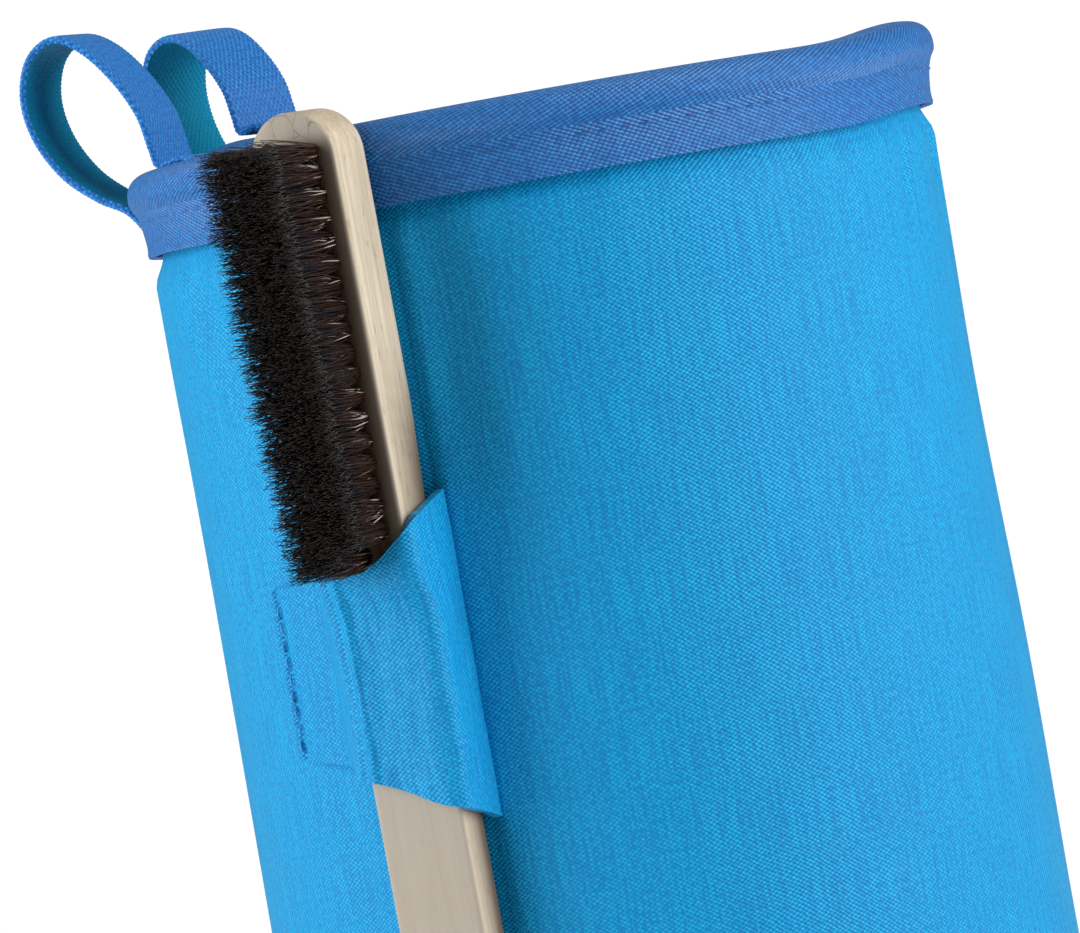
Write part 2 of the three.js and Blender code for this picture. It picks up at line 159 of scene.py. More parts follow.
# Small creases in the body cloth, from one place (angle, height) to another, and ridges where the
# depth is below 0
CREASES = (
    dict(start=(-121, 157), end=(-103, 138), depth=1.3, wide=1.9),
    dict(start=(-124, 150), end=(-110, 134), depth=-0.9, wide=2),
    dict(start=(12, 158), end=(9, 149), depth=0.9, wide=1.5),
    dict(start=(25, 159), end=(29, 150), depth=1.2, wide=1.6),
    dict(start=(-14, 158), end=(-20, 151), depth=0.3, wide=1.7),
    dict(start=(-104, 88), end=(-99, 60), depth=0.35, wide=2.2),
    dict(start=(-70, 78), end=(-52, 71), depth=0.3, wide=2.6),
    dict(start=(66, 158), end=(71, 146), depth=0.45, wide=2),
    dict(start=(118, 158), end=(111, 147), depth=0.4, wide=2),
    dict(start=(162, 161), end=(150, 146), depth=0.45, wide=2.2),
    dict(start=(-160, 161), end=(-149, 147), depth=0.45, wide=2.2),
)

# Belt loop from the crest of the rim to the outside of the tape, as shares of reach and rise
LOOP_PATH = (
    (-0.08, 0.2), (-0.02, 0.42), (0.14, 0.65), (0.37, 0.85), (0.62, 0.91), (0.86, 0.79),
    (0.97, 0.5), (0.92, 0.17), (0.73, -0.15), (0.46, -0.38), (0.2, -0.54),
)

# How far the back of the brush is rounded, at shares of its length
BACK_ROUNDS = ((0, 0), (0.25, 0), (0.36, 1), (1, 1))

# Edges of the holder, across from its flange to the side seam: how much its top lifts and its lower
# edge falls
HOLDER_EDGES = dict(
    flange=(0, 0), crease=(0, 0.18), front_left=(0, 0.32), front=(0.03, 0.54),
    front_right=(0.3, 0.75), corner_right=(0.68, 0.83), seam=(1, 1),
)


def lerp(a, b, share):
    return a + (b - a) * share


def eased(x, start, end):
    share = min(max((x - start) / (end - start), 0), 1)
    return share * share * (3 - 2 * share)


def around(angle, radius, z):
    """A point at an angle round the bag."""
    a = math.radians(angle)
    return Vector((radius * math.sin(a), -radius * math.cos(a), z))


def angle_of(point):
    return math.degrees(math.atan2(point.x, -point.y))


def apart(a, b):
    """Degrees from angle b to angle a, the short way round."""
    return (a - b + 180) % 360 - 180


def smooth_line(points, count):
    """Evenly spaced points on a smooth line through the given ones."""
    points = [Vector(p) for p in points]
    padded = [2 * points[0] - points[1], *points, 2 * points[-1] - points[-2]]
    fine = []
    for a, b, c, d in zip(padded, padded[1:], padded[2:], padded[3:]):
        for i in range(16):
            t = i / 16
            fine.append(0.5 * (
                2 * b + (c - a) * t + (2 * a - 5 * b + 4 * c - d) * t**2 + (3 * b - a - 3 * c + d) * t**3
            ))
    fine.append(points[-1])
    lengths = [0]
    for a, b in zip(fine, fine[1:]):
        lengths.append(lengths[-1] + (b - a).length)
    line, at = [], 0
    for i in range(count):
        wanted = lengths[-1] * i / (count - 1)
        while at < len(fine) - 2 and lengths[at + 1] < wanted:
            at += 1
        share = (wanted - lengths[at]) / max(lengths[at + 1] - lengths[at], 1e-9)
        line.append(fine[at].lerp(fine[at + 1], share))
    return line


# Shape of the bag


def rim_height(angle):
    return BAG_HEIGHT + sum(
        RIM_RISE * r["rise"] * math.exp(-((apart(angle, r["angle"]) / r["wide"]) ** 4)) for r in RIM_RISES
    )


def from_segment(angle, z, start, end):
    """Distance on the cloth from a crease, and how far along it, from 0 to 1."""
    a = Vector((0, start[1]))
    b = Vector((math.radians(apart(end[0], start[0])) * BODY_RADIUS, end[1]))
    p = Vector((math.radians(apart(angle, start[0])) * BODY_RADIUS, z))
    share = min(max((p - a).dot(b - a) / (b - a).length_squared, 0), 1)
    return (p - a.lerp(b, share)).length, share


def side_seam(angle):
    """Depth of the side seam: the front panel is folded over the narrow panel that carries the brush."""
    s = math.radians(apart(angle, SEAM_ANGLE)) * BODY_RADIUS
    fold = SEAM_FOLD * eased(s, -0.7, 0.8) * math.exp(-max(s, 0) / 5)
    return SEAM_GROOVE * math.exp(-(((s + 0.9) / 0.8) ** 2)) - fold


def hollow(angle, z):
    """How far the body cloth is pushed in at a place."""
    depth = side_seam(angle)
    for d in DENTS:
        aside = apart(angle, d["angle"]) / d["wide"]
        above = (z / BAG_HEIGHT - d["height"]) / d["tall"]
        depth += DENT_DEPTH * d["depth"] * math.exp(-aside * aside - above * above)
    for c in CREASES:
        away, share = from_segment(angle, z, c["start"], c["end"])
        if away < 3 * c["wide"]:
            fading = 0.55 + 0.45 * math.sin(math.pi * share)
            depth += c["depth"] * math.exp(-((away / c["wide"]) ** 2)) * fading
    return depth


def gathers(angle, drop):
    """Fine puckers where the rim tape draws the cloth in, and a slow unevenness below them."""
    a = math.radians(angle)
    ring = Vector((math.cos(a), math.sin(a), 0))
    fine = noise.noise(ring * 11 + Vector((0, 0, 3.1 + drop * 0.03)))
    slow = noise.noise(ring * 2.2 + Vector((0, 0, 9.7 + drop * 0.017)))
    near = math.exp(-max(drop - BAND_HEIGHT, 0) / 7)
    return PUCKER * fine * near + SLACK * slow * eased(drop, BAND_HEIGHT, 40)


def cloth_radius(angle, z):
    drop = rim_height(angle) - z
    swell = eased(drop, SWELL_START, SWELL_START + SWELL_HEIGHT)
    relief = hollow(angle, z) + gathers(angle, drop)
    return NECK_RADIUS + swell * (BODY_RADIUS - NECK_RADIUS - relief)


def roll_point(turn, stand_off):
    """Radius and rise of a point on the rim's roll, at a turn round it and a distance off the tape."""
    a = math.radians(turn)
    out, up = (math.copysign(abs(share) ** ROLL_POWER, share) for share in (math.cos(a), math.sin(a)))
    return Vector((
        NECK_MIDDLE + (ROLL_RADIUS + stand_off) * out, -ROLL_DROP + (ROLL_DROP + stand_off) * up
    ))


def brush_stand(z):
    return HEAD_STAND + (z - BAG_HEIGHT + ROLL_DROP) * LEAN


# Making meshes


def turned(profile, steps):
    """A line of (radius, height) points spun round the bag's axis. Its vertices keep their distance
    along the line."""
    bm = bmesh.new()
    along = bm.verts.layers.float.new("along")
    last = None
    for radius, z in profile:
        vert = bm.verts.new((0, -radius, z))
        if last:
            vert[along] = last[along] + (vert.co - last.co).length
            bm.edges.new((last, vert))
        last = vert
    bmesh.ops.spin(
        bm, geom=bm.verts[:] + bm.edges[:], cent=(0, 0, 0), axis=(0, 0, 1),
        angle=math.tau, steps=steps, use_merge=True,
    )
    bmesh.ops.remove_doubles(bm, verts=bm.verts, dist=1e-4)
    return bm


def face_away(bm, inside):
    """Turns the faces to point away from inside(place)."""
    bmesh.ops.recalc_face_normals(bm, faces=bm.faces)
    lean = 0
    for face in bm.faces:
        middle = face.calc_center_median()
        lean += face.normal.dot(middle - inside(middle)) * face.calc_area()
    if lean < 0:
        bmesh.ops.reverse_faces(bm, faces=bm.faces)


def of_kind(kind, geom):
    """The vertices or the edges among what a bmesh operator made."""
    return [part for part in geom if isinstance(part, kind)]


def walled(bm, thickness):
    """Gives an outer surface its thickness: the sheet is extruded, and the copy moved inwards."""
    made = bmesh.ops.extrude_face_region(bm, geom=bm.faces[:], use_keep_orig=True)["geom"]
    bm.normal_update()
    for vert in of_kind(BMVert, made):
        vert.co -= vert.normal * thickness
    bmesh.ops.recalc_face_normals(bm, faces=bm.faces)


def lofted(rings):
    """A solid through rings of points: a circle extruded from ring to ring and capped at both ends."""
    bm = bmesh.new()
    ring = bmesh.ops.create_circle(bm, cap_ends=True, segments=len(rings[0]), radius=1)["verts"]
    for vert, place in zip(ring, rings[0]):
        vert.co = place
    edges = bm.edges[:]
    for places in rings[1:]:
        made = bmesh.ops.extrude_edge_only(bm, edges=edges)["geom"]
        new = set(of_kind(BMVert, made))
        ring = [next(e.other_vert(v) for e in v.link_edges if e.other_vert(v) in new) for v in ring]
        edges = [e for e in of_kind(BMEdge, made) if new.issuperset(e.verts)]
        for vert, place in zip(ring, places):
            vert.co = place
    bmesh.ops.contextual_create(bm, geom=edges)
    bmesh.ops.recalc_face_normals(bm, faces=bm.faces)
    return bm


def placed(name, data):
    """A new object of the scene."""
    thing = bpy.data.objects.new(name, data)
    bpy.context.scene.collection.objects.link(thing)
    return thing


def finish_piece(bm, name, body, materials, node=None, crisp=40):
    """Puts a bmesh into the scene as a piece of the object."""
    bmesh.ops.scale(bm, vec=(MM, MM, MM), verts=bm.verts)
    mesh = bpy.data.meshes.new(name)
    bm.to_mesh(mesh)
    bm.free()
    for material in materials:
        mesh.materials.append(material)
    mesh.polygons.foreach_set("use_smooth", [True] * len(mesh.polygons))
    mesh.set_sharp_from_angle(angle=math.radians(crisp))
    piece = placed(name, mesh)
    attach(piece, body)
    if node:
        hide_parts(node)
    return piece


def lay_round(bm):
    """UVs in millimetres of cloth: round the bag from the side seam, and along the spun line."""
    weave = bm.loops.layers.uv.new("weave")
    along = bm.verts.layers.float["along"]
    for face in bm.faces:
        middle = (angle_of(face.calc_center_median()) - SEAM_ANGLE) % 360
        for loop in face.loops:
            turn = middle + apart(angle_of(loop.vert.co) - SEAM_ANGLE, middle)
            loop[weave].uv = (math.radians(turn) * BODY_RADIUS, loop.vert[along])


# Materials


def linear(code):
    """A colour written as sRGB hex, in the linear values that Blender works with."""
    parts = [int(code[i : i + 2], 16) / 255 for i in (1, 3, 5)]
    return (*(c / 12.92 if c <= 0.04045 else ((c + 0.055) / 1.055) ** 2.4 for c in parts), 1)


def add(tree, kind, inputs=(), **settings):
    """A node with its settings, and its inputs linked or set."""
    node = tree.nodes.new("ShaderNode" + kind)
    for name, value in settings.items():
        setattr(node, name, value)
    for name, value in dict(inputs).items():
        if isinstance(value, bpy.types.NodeSocket):
            tree.links.new(value, node.inputs[name])
        else:
            node.inputs[name].default_value = value
    return node


def new_material(name, **shine):
    """A material with its Principled shader set."""
    material = bpy.data.materials.new(name)
    material.use_nodes = True
    shader = material.node_tree.nodes["Principled BSDF"]
    for socket, value in shine.items():
        shader.inputs[socket.replace("_", " ")].default_value = value
    return material, material.node_tree, shader


def swayed_cloth(tree, scale, detail, reach):
    """Places on the cloth in millimetres, with a slow sway so that no yarn runs dead straight."""
    place = add(tree, "UVMap", uv_map="weave").outputs["UV"]
    drift = add(tree, "TexNoise", {"Vector": place, "Scale": scale, "Detail": detail}).outputs["Color"]
    sway = add(tree, "VectorMath", {0: drift, 1: (0.5, 0.5, 0.5)}, operation="SUBTRACT").outputs[0]
    return add(
        tree, "VectorMath", {0: sway, 1: (*reach, 0), 2: place}, operation="MULTIPLY_ADD"
    ).outputs[0]


def plain_weave(tree, place, widths):
    """Height of a plain weave of yarns this wide: 1 where they cross and 0 in the gaps."""
    split = add(tree, "SeparateXYZ", {0: place}).outputs
    waves = []
    for at, width in zip(split, widths):
        turn = add(tree, "Math", {0: at, 1: math.pi / width}, operation="MULTIPLY").outputs[0]
        waves.append(add(tree, "Math", {0: turn}, operation="COSINE").outputs[0])
    over = add(tree, "Math", {0: waves[0], 1: waves[1]}, operation="MULTIPLY").outputs[0]
    return add(tree, "Math", {0: over, 1: 0.5, 2: 0.5}, operation="MULTIPLY_ADD").outputs[0]


def dress(tree, shader, face, uneven, colours, height, strength, depth):
    """Colours a woven face from its gaps to its crests, unevenly, and raises it by its height. The dark
    gaps are painted shade between the yarns, and the light crests a painted highlight on them.
    """
    gap, crest = (linear(code) for code in colours)
    shade = add(tree, "Math", {0: face, 1: uneven}, operation="MULTIPLY", use_clamp=True).outputs[0]
    colour = add(tree, "Mix", {0: shade, 6: gap, 7: crest}, data_type="RGBA").outputs[2]
    tree.links.new(colour, shader.inputs["Base Color"])
    bump = add(tree, "Bump", {"Height": height, "Strength": strength, "Distance": depth * MM})
    tree.links.new(bump.outputs[0], shader.inputs["Normal"])


def oxford_cloth(name, crest, gap, roughness=0.45, relief=1):
    """Polyester oxford, woven from flat two-ply yarns. It gives rows of small bright crossings over
    darker gaps, yarn by yarn uneven, with a matt face that lifts towards its edges. The crossings'
    brightness is a painted highlight and the gaps' darkness painted shade, on top of the weave's bump."""
    material, tree, shader = new_material(
        name, Roughness=roughness, IOR=1.5, Specular_IOR_Level=0.22, Sheen_Weight=0.14, Sheen_Roughness=0.3
    )
    shader.inputs["Sheen Tint"].default_value = linear("#b8f0c8")
    place = swayed_cloth(tree, 0.11, 2, (0.9, 1.1))
    height = plain_weave(tree, place, (YARN, PICK))
    # Yarns differ in twist and lustre: long streaks along the warp, and here and there a crossing
    # painted lighter, a painted glint
    lengthwise = {0: place, 1: (1 / YARN, 1 / 11, 0)}
    long_place = add(tree, "VectorMath", lengthwise, operation="MULTIPLY").outputs[0]
    streak = add(tree, "TexNoise", {"Vector": long_place, "Scale": 1, "Detail": 1}).outputs["Fac"]
    crossing = {0: place, 1: (1 / YARN, 0.5 / PICK, 0)}
    cell = add(tree, "VectorMath", crossing, operation="MULTIPLY").outputs[0]
    glint = add(tree, "TexNoise", {"Vector": cell, "Scale": 0.9, "Detail": 0}).outputs["Fac"]
    lift = add(tree, "Math", {0: streak, 1: glint}, operation="ADD").outputs[0]
    uneven = add(
        tree, "MapRange", {"Value": lift, "From Min": 0.75, "From Max": 1.25, "To Min": 0.2, "To Max": 1.6}
    ).outputs[0]
    dot = add(tree, "Math", {0: height, 1: 1.7}, operation="POWER").outputs[0]
    dress(tree, shader, dot, uneven, (gap, crest), height, relief, 0.12)
    return material


def herringbone_tape(name, crest, gap):
    """Woven polyester binding tape. Its twill turns at the middle, so fine slanting ribs meet in a
    chevron, and each rib is broken into stitches of yarn that catch the light."""
    material, tree, shader = new_material(
        name, Roughness=0.42, IOR=1.5, Specular_IOR_Level=0.5, Sheen_Weight=0.22, Sheen_Roughness=0.3
    )
    shader.inputs["Sheen Tint"].default_value = linear("#a9c4f0")
    place = swayed_cloth(tree, 0.16, 2, (0.5, 0.5))
    split = add(tree, "SeparateXYZ", {0: place}).outputs
    folded = add(tree, "Math", {0: split[1], 1: TAPE_TURN}, operation="PINGPONG").outputs[0]
    slant = add(tree, "Math", {0: split[0], 1: 0.42}, operation="MULTIPLY").outputs[0]
    across = add(tree, "Math", {0: folded, 1: 0.9, 2: slant}, operation="MULTIPLY_ADD").outputs[0]
    rib_turn = add(tree, "Math", {0: across, 1: math.tau / TAPE_RIB}, operation="MULTIPLY").outputs[0]
    rib = add(tree, "Math", {0: rib_turn}, operation="COSINE").outputs[0]
    along, rise = (math.tau / width for width in TAPE_YARN)
    lengthwise = add(tree, "Math", {0: split[0], 1: along}, operation="MULTIPLY").outputs[0]
    rising = add(tree, "Math", {0: folded, 1: -rise, 2: lengthwise}, operation="MULTIPLY_ADD").outputs[0]
    yarn = add(tree, "Math", {0: rising}, operation="COSINE").outputs[0]
    mixed = add(tree, "Math", {0: yarn, 1: 0.45, 2: rib}, operation="MULTIPLY_ADD").outputs[0]
    height = add(tree, "MapRange", {"Value": mixed, "From Min": -1.45, "From Max": 1.45}).outputs[0]
    cell = add(tree, "TexNoise", {"Vector": place, "Scale": 1.1, "Detail": 1}).outputs["Fac"]
    uneven = add(
        tree, "MapRange", {"Value": cell, "From Min": 0.3, "From Max": 0.75, "To Min": 0.5, "To Max": 1.3}
    ).outputs[0]
    dress(tree, shader, height, uneven, (gap, crest), height, 1, 0.18)
    return material


def woven_webbing(name, crest, gap, sheen=0.08, shine=0.35):
    """Narrow polyester webbing: cross ribs of packed yarn, each rib a row of small loops, with a
    speckled edge where the weft turns back."""
    material, tree, shader = new_material(
        name, Roughness=0.5, IOR=1.5, Specular_IOR_Level=shine, Sheen_Weight=sheen, Sheen_Roughness=0.4
    )
    place = swayed_cloth(tree, 0.5, 1, (0.25, 0.2))
    height = plain_weave(tree, place, (WEBBING_END, WEBBING_RIB))
    speck = add(tree, "TexNoise", {"Vector": place, "Scale": 1.6, "Detail": 1}).outputs["Fac"]
    uneven = add(
        tree, "MapRange", {"Value": speck, "From Min": 0.3, "From Max": 0.75, "To Min": 0.35, "To Max": 1.3}
    ).outputs[0]
    dress(tree, shader, height, uneven, (gap, crest), height, 0.9, 0.14)
    return material


def bare_beech(name):
    """Sanded, unvarnished beech: a pale matt side with fine fibres along the brush and short brown
    flecks, a greyer face where hands and chalk have been, and dark brown painted shade by the
    bristles' roots, where the bristles shade the face, and on the rounded back that faces the bag."""
    material, tree, shader = new_material(name, Roughness=0.62, IOR=1.45, Specular_IOR_Level=0.35)
    place = add(tree, "TexCoord").outputs["Object"]
    fibre_place = add(tree, "VectorMath", {0: place, 1: (2600, 2600, 70)}, operation="MULTIPLY").outputs[0]
    fibre = add(
        tree, "TexNoise", {"Vector": fibre_place, "Scale": 1, "Detail": 3, "Roughness": 0.6}
    ).outputs["Fac"]
    ring_place = add(tree, "VectorMath", {0: place, 1: (420, 420, 9)}, operation="MULTIPLY").outputs[0]
    ring = add(
        tree, "TexNoise", {"Vector": ring_place, "Scale": 1, "Detail": 2, "Distortion": 0.6}
    ).outputs["Fac"]
    fleck_place = add(tree, "VectorMath", {0: place, 1: (1700, 1700, 420)}, operation="MULTIPLY").outputs[0]
    fleck = add(tree, "TexNoise", {"Vector": fleck_place, "Scale": 1, "Detail": 1}).outputs["Fac"]
    flecks = add(tree, "MapRange", {"Value": fleck, "From Min": 0.62, "From Max": 0.74}).outputs[0]
    grain = add(tree, "Math", {0: fibre, 1: 0.55}, operation="MULTIPLY").outputs[0]
    tone = add(tree, "Math", {0: ring, 1: 0.6, 2: grain}, operation="MULTIPLY_ADD").outputs[0]
    spread = add(tree, "MapRange", {"Value": tone, "From Min": 0.38, "From Max": 0.78}).outputs[0]
    bare = {0: spread, 6: linear("#a8967c"), 7: linear("#d2c5af")}
    pale = add(tree, "Mix", bare, data_type="RGBA").outputs[2]
    mark = add(tree, "Math", {0: flecks, 1: 0.4}, operation="MULTIPLY").outputs[0]
    flecked = add(tree, "Mix", {0: mark, 6: pale, 7: linear("#8f7452")}, data_type="RGBA").outputs[2]
    worn = add(tree, "Attribute", attribute_name="worn").outputs["Fac"]
    greyed = add(tree, "Mix", {0: worn, 6: flecked, 7: linear("#a39b8e")}, data_type="RGBA").outputs[2]
    crack_place = add(tree, "VectorMath", {0: place, 1: (900, 900, 500)}, operation="MULTIPLY").outputs[0]
    split_wood = {"Vector": crack_place, "Scale": 0.5}
    cells = add(tree, "TexVoronoi", split_wood, feature="DISTANCE_TO_EDGE").outputs["Distance"]
    crack = add(tree, "MapRange", {"Value": cells, "From Min": 0.03, "From Max": 0}).outputs[0]
    rough = add(tree, "Attribute", attribute_name="rough").outputs["Fac"]
    cracks = add(tree, "Math", {0: crack, 1: rough}, operation="MULTIPLY").outputs[0]
    # Painted shade: dark brown where the bristles shade the face by their roots and on the rounded back
    # that faces the bag, made patchy by the rings; the fine cracks share its colour
    painted_shade = add(tree, "Attribute", attribute_name="painted_shade").outputs["Fac"]
    patchy = add(
        tree, "MapRange", {"Value": ring, "From Min": 0.2, "From Max": 0.7, "To Min": 0.8}
    ).outputs[0]
    patchy_shade = add(tree, "Math", {0: painted_shade, 1: patchy}, operation="MULTIPLY", use_clamp=True).outputs[0]
    shade_and_cracks = add(tree, "Math", {0: patchy_shade, 1: cracks}, operation="MAXIMUM").outputs[0]
    colour = add(tree, "Mix", {0: shade_and_cracks, 6: greyed, 7: linear("#3a2410")}, data_type="RGBA").outputs[2]
    tree.links.new(colour, shader.inputs["Base Color"])
    bump = add(tree, "Bump", {"Height": fibre, "Strength": 0.35, "Distance": 0.08 * MM})
    tree.links.new(bump.outputs[0], shader.inputs["Normal"])
    return material


def boar_bristle(name):
    """Natural boar bristle: nearly black hair with a brown cast, smooth enough for a narrow gleam.
    The hairs darken towards their ends as painted shade of the tuft seen end-on, and some are pale near
    the root as a painted highlight for light glinting between the tufts."""
    material, tree, shader = new_material(name, Roughness=0.34, IOR=1.55, Specular_IOR_Level=0.5)
    along = add(tree, "Attribute", attribute_name="along").outputs["Fac"]
    tone = add(tree, "Attribute", attribute_name="tone").outputs["Fac"]
    browns = {0: tone, 6: linear("#130c09"), 7: linear("#4a3024")}
    hair = add(tree, "Mix", browns, data_type="RGBA").outputs[2]
    # Painted shade: the hairs darken to near black towards their ends, where the tufts' mass lies in shade
    tip = add(tree, "MapRange", {"Value": along, "From Min": 0.55, "From Max": 0.95}).outputs[0]
    dark = add(tree, "Math", {0: tip, 1: 0.7}, operation="MULTIPLY").outputs[0]
    shaft = add(tree, "Mix", {0: dark, 6: hair, 7: linear("#0d0f0e")}, data_type="RGBA").outputs[2]
    # Painted highlight: a few hairs are pale near the root, for the glints of light between the tufts
    near_root = add(tree, "MapRange", {"Value": along, "From Min": 0.5, "From Max": 0.15}).outputs[0]
    glint_hair = add(tree, "MapRange", {"Value": tone, "From Min": 0.9, "From Max": 0.94}).outputs[0]
    root = add(tree, "Math", {0: near_root, 1: glint_hair}, operation="MULTIPLY").outputs[0]
    colour = add(tree, "Mix", {0: root, 6: shaft, 7: linear("#d8ccc2")}, data_type="RGBA").outputs[2]
    tree.links.new(colour, shader.inputs["Base Color"])
    return material


def spun_thread(name, dark, light):
    """Twisted polyester sewing thread, a little shinier than the cloth that it sinks into."""
    material, tree, shader = new_material(name, Roughness=0.5, IOR=1.5, Sheen_Weight=0.1)
    place = add(tree, "TexCoord").outputs["Object"]
    twist = add(tree, "TexNoise", {"Vector": place, "Scale": 3000, "Detail": 1}).outputs["Fac"]
    shade = add(tree, "Mix", {0: twist, 6: linear(dark), 7: linear(light)}, data_type="RGBA").outputs[2]
    tree.links.new(shade, shader.inputs["Base Color"])
    return material


body_cloth = oxford_cloth("polyester oxford, woven face", "#02b2e4", "#007ebe")
inner_cloth = oxford_cloth(
    "polyester oxford, coated back", "#0a86c4", "#05639a", roughness=0.4, relief=0.35
)
holder_cloth = oxford_cloth("polyester oxford, holder", "#02b0e2", "#007abb")
rim_tape = herringbone_tape("polyester herringbone tape", "#268cda", "#033f86")
webbing = woven_webbing("polyester webbing", "#2e97e8", "#0756a4")
# The same webbing painted a duller teal with little shine: painted shade on the loops' inner face
webbing_in_painted_shade = woven_webbing("polyester webbing, inner face in painted shade", "#0492b4", "#037ea0", sheen=0, shine=0.08)
beech = bare_beech("beech, sanded")
bristle = boar_bristle("boar bristle")
thread = spun_thread("polyester sewing thread", "#043a66", "#1c66b4")
pale_thread = spun_thread("polyester sewing thread, light", "#0a78b8", "#2aa0e0")


# Pieces


def body_piece():
    """The bag's wall: the cloth line spun round the axis, lifted to the rim and pushed in by its dents,
    and then given its thickness."""
    corner = BODY_RADIUS - BASE_CORNER
    profile = []
    for i in range(9):
        a = math.radians(90 * i / 9)
        profile.append((corner + BASE_CORNER * math.sin(a), BASE_CORNER * (1 - math.cos(a))))
    wall = [lerp(BASE_CORNER, SWELL_BOTTOM, i / 92) for i in range(92)]
    neck = [lerp(SWELL_BOTTOM, BAG_HEIGHT - ROLL_DROP, i / 10) for i in range(11)]
    profile += [(BODY_RADIUS, z) for z in wall + neck]
    bm = turned(profile, ROUND_STEPS)
    for vert in bm.verts:
        angle, z = angle_of(vert.co), vert.co.z
        share = min(max((z - BASE_CORNER) / (SWELL_BOTTOM - BASE_CORNER), 0), 1)
        height = z + share * (rim_height(angle) - BAG_HEIGHT)
        radius = math.hypot(vert.co.x, vert.co.y)
        if z > BASE_CORNER:
            radius = cloth_radius(angle, height)
        else:
            radius -= (BODY_RADIUS - cloth_radius(angle, BASE_CORNER)) * (z / BASE_CORNER) ** 0.5
        vert.co = around(angle, radius, height)
    face_away(bm, lambda p: Vector((0, 0, min(max(p.z, 20), 150))))
    outer = set(bm.faces)
    walled(bm, BODY_CLOTH)
    for face in bm.faces:
        face.material_index = 0 if face in outer else 1
    lay_round(bm)
    return finish_piece(bm, "bag_body_cloth", "bag", [body_cloth, inner_cloth], "bag_body")


def base_piece():
    """The base: a round of the same cloth, a little domed where the bag isn't resting on it."""
    radius = BODY_RADIUS - BASE_CORNER - SEWN_GAP
    under = [(radius * i / 20, BASE_DOME * (1 - (i / 20) ** 2)) for i in range(19)]
    edge = [(radius - 0.5, 0.0), (radius, 0.5), (radius, BASE_CLOTH - 0.5), (radius - 0.5, BASE_CLOTH)]
    upper = [(r, BASE_CLOTH + z * 0.6) for r, z in reversed(under)]
    bm = turned(under + edge + upper, 96)
    face_away(bm, lambda p: Vector((p.x * 0.9, p.y * 0.9, BASE_CLOTH / 2)))
    weave = bm.loops.layers.uv.new("weave")
    for face in bm.faces:
        for loop in face.loops:
            loop[weave].uv = loop.vert.co.xy
    return finish_piece(bm, "base_panel_cloth", "bag", [body_cloth], "base_panel")


def band_piece():
    """The rim tape: from its flared lower edge over the padded roll and down inside the mouth."""
    outside = NECK_MIDDLE + TAPE_REACH + BAND_FLARE
    line = [
        Vector((outside - 0.4, -BAND_HEIGHT)), Vector((outside - 0.25, -9.4)),
        Vector((outside + 0.1, -BAND_STITCH_DROP)), Vector((outside + 0.6, -5.4)),
        *[roll_point(turn, 0) for turn in (-8, 10, 28, 47, 68, 90, 113, 135, 155, 175, 195, 215)],
        Vector((NECK_MIDDLE - TAPE_REACH, -BAND_STITCH_DROP)),
        Vector((NECK_MIDDLE - TAPE_REACH, -BAND_HEIGHT)),
    ]
    bm = turned([(p.x, p.y) for p in smooth_line(line, BAND_POINTS)], ROUND_STEPS)
    along = bm.verts.layers.float["along"]
    for vert in bm.verts:
        angle, rise = angle_of(vert.co), vert.co.z
        a = math.radians(angle)
        ring = Vector((math.cos(a), math.sin(a), 0))
        slack = noise.noise(ring * 9 + Vector((0, 0, 5 + vert[along] * 0.08)))
        edge = math.exp(-vert[along] / 2.5)
        selvedge = 0.16 * math.exp(-(((vert[along] - 0.5) / 0.5) ** 2))
        radius = math.hypot(vert.co.x, vert.co.y) + slack * (0.14 + 0.2 * edge) + selvedge
        vert.co = around(angle, radius, rise + rim_height(angle) + 0.1 * edge * slack)
    face_away(bm, lambda p: around(angle_of(p), NECK_MIDDLE, rim_height(angle_of(p)) - 7))
    walled(bm, TAPE)
    lay_round(bm)
    return finish_piece(bm, "rim_tape", "bag", [rim_tape], "rim_band")


def loop_line(lift):
    """The middle of a belt loop's webbing, in radius and rise, as evenly spaced points."""
    half = LOOP_WIDTH / 2
    inner = NECK_MIDDLE - ROLL_RADIUS
    outside = SEWN_GAP + WEBBING / 2
    inside = outside + inner - math.sqrt(inner**2 - half**2) + SEWN_GAP / 2
    tail = BAND_HEIGHT - WEBBING
    points = [
        Vector((NECK_MIDDLE - TAPE_REACH - inside, -tail)),
        Vector((NECK_MIDDLE - TAPE_REACH - inside, -BAND_STITCH_DROP - WEBBING)),
        *[roll_point(turn, inside) for turn in (208, 180, 150, 120, 95, 72)],
        *[
            Vector((ROLL_OUTER + out * LOOP_REACH, up * LOOP_RISE + lift * min(i / 4, 1)))
            for i, (out, up) in enumerate(LOOP_PATH)
        ],
        Vector((NECK_MIDDLE + TAPE_REACH + BAND_FLARE + outside, -tail)),
    ]
    return smooth_line(points, LOOP_POINTS)


